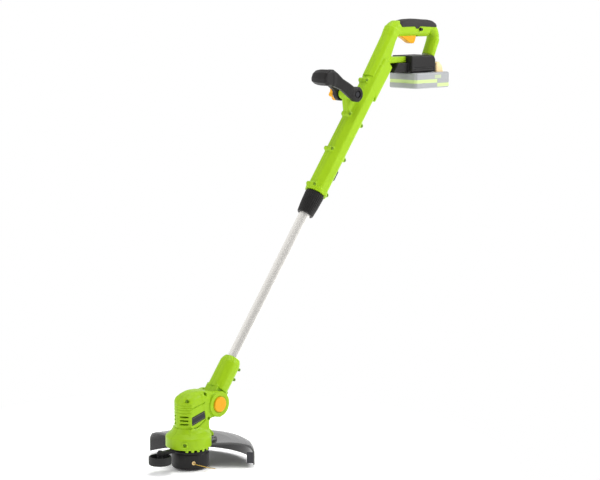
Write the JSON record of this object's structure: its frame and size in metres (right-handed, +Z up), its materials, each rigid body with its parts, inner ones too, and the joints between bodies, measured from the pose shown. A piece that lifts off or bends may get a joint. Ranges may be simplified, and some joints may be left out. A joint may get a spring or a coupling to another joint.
{
  "type": "string trimmer",
  "caption": "Cordless string trimmer with a closed rear grip, a loop front handle, a telescoping shaft, a tilting motor head, a line spool, a rear guard and an edge wheel.",
  "frame": {"origin": "centre of the flat underside of the spool cap, on the spindle axis, at floor level", "axes": "+Z up along the spindle, +X from the head to the operator end, +Y to the operator's right hand side seen from behind"},
  "size_m": [0.8841, 0.2419, 0.9332],
  "materials": {
    "green_shell": "satin",
    "black_plastic": "satin",
    "guard_plastic": "polished",
    "orange_plastic": "satin",
    "soft_grip": "matte",
    "tube_aluminium": "satin",
    "steel": "satin",
    "brass": "satin",
    "cable_jacket": "matte",
    "wire_red": "satin",
    "battery_plastic": "satin",
    "latch_plastic": "satin",
    "label": "satin",
    "white_plastic": "satin",
    "motor_steel": "satin",
    "ferrite": "matte",
    "spool_red": "satin",
    "nylon_line": "satin",
    "copper": "satin",
    "wheel_plastic": "satin"
  },
  "bodies": {
    "housing": {"housing_near": "green_shell", "housing_far": "green_shell", "housing_screws": "steel", "grip_pad": "soft_grip", "battery_dock": "black_plastic", "dock_terminals": "brass", "switch_box": "black_plastic", "switch_leads": "wire_red", "trigger_pin": "steel", "trigger_spring": "steel", "collet": "black_plastic"},
    "trigger": {"trigger": "orange_plastic"},
    "lock_off": {"lock_off_button": "black_plastic"},
    "loop": {"front_handle": "black_plastic", "handle_bolt": "steel", "handle_washer": "steel"},
    "knob": {"handle_knob": "orange_plastic"},
    "collar": {"twist_collar": "black_plastic"},
    "turn_lock": {"turn_lock_tab": "black_plastic", "tab_spring": "steel"},
    "slider": {"slider_bush": "white_plastic"},
    "shaft": {"tube": "tube_aluminium", "tube_rings": "steel", "inner_cable": "cable_jacket", "cable_plugs": "cable_jacket", "neck": "green_shell", "neck_screws": "steel"},
    "head": {"head_shell_near": "green_shell", "head_shell_far": "green_shell", "head_screws": "steel", "label_plate": "label", "base_plate": "black_plastic", "pivot_axle": "steel", "tilt_spring": "steel", "motor_can": "motor_steel", "motor_magnets": "ferrite", "motor_leads": "wire_red", "guard": "guard_plastic", "guard_screws": "steel", "line_cutter": "steel", "wheel_bracket": "black_plastic", "wheel_axle": "steel"},
    "tilt_button": {"tilt_button": "orange_plastic"},
    "spool": {"spindle": "steel", "rotor": "copper", "spool_hub": "black_plastic", "spool_cap": "black_plastic", "line_spool": "spool_red", "wound_line": "nylon_line", "spool_spring": "steel", "eyelet": "brass", "cutting_line": "nylon_line"},
    "wheel": {"edge_wheel": "wheel_plastic"},
    "battery": {"battery": "battery_plastic", "latch_spring": "steel"},
    "latch": {"battery_latch": "latch_plastic"}
  },
  "joints": [
    {"name": "trigger_pull", "type": "hinge", "parent": "housing", "child": "trigger", "pos_m": [0.63835, 0, 0.90923], "axis": [0, -1, 0], "range_deg": [0, 8], "stiffness_Nm_per_rad": 1.2, "springref_deg": -6.88},
    {"name": "lock_off_push", "type": "slide", "parent": "housing", "child": "lock_off", "axis": [0, 1, 0], "range_m": [0, 0.003], "stiffness_N_per_m": 300, "springref_m": -0.001},
    {"name": "loop_tilt", "type": "hinge", "parent": "housing", "child": "loop", "pos_m": [0.47387, 0, 0.76881], "axis": [0, 1, 0], "range_deg": [-35, 35]},
    {"name": "knob_turn", "type": "hinge", "parent": "loop", "child": "knob", "pos_m": [0.47387, 0, 0.76881], "axis": [0, 1, 0], "continuous": true},
    {"name": "collar_turn", "type": "hinge", "parent": "housing", "child": "collar", "pos_m": [0.35701, 0, 0.53261], "axis": [0.5962, 0, 0.8028], "range_deg": [0, 90]},
    {"name": "turn_lock_press", "type": "slide", "parent": "housing", "child": "turn_lock", "axis": [-0.8028, 0, 0.5962], "range_m": [0, 0.0022], "stiffness_N_per_m": 400, "springref_m": -0.001},
    {"name": "telescope", "type": "slide", "parent": "housing", "child": "slider", "axis": [0.5962, 0, 0.8028], "range_m": [0, 0.18]},
    {"name": "shaft_turn", "type": "hinge", "parent": "slider", "child": "shaft", "pos_m": [0.44316, 0, 0.64862], "axis": [0.5962, 0, 0.8028], "range_deg": [0, 180]},
    {"name": "head_tilt", "type": "hinge", "parent": "shaft", "child": "head", "pos_m": [0.058, 0, 0.13], "axis": [0, 1, 0], "range_deg": [-40, 15]},
    {"name": "tilt_release", "type": "slide", "parent": "head", "child": "tilt_button", "axis": [0, 1, 0], "range_m": [0, 0.003], "stiffness_N_per_m": 500, "springref_m": -0.001},
    {"name": "spool_spin", "type": "hinge", "parent": "head", "child": "spool", "pos_m": [0, 0, 0.03], "axis": [0, 0, 1], "continuous": true},
    {"name": "wheel_spin", "type": "hinge", "parent": "head", "child": "wheel", "pos_m": [-0.0837, 0, 0.03], "axis": [0, 0, 1], "continuous": true},
    {"name": "battery_slide", "type": "slide", "parent": "housing", "child": "battery", "axis": [1, 0, 0], "range_m": [0, 0.09]},
    {"name": "latch_press", "type": "slide", "parent": "battery", "child": "latch", "axis": [0, 0, -1], "range_m": [0, 0.002], "stiffness_N_per_m": 600, "springref_m": -0.001}
  ]
}
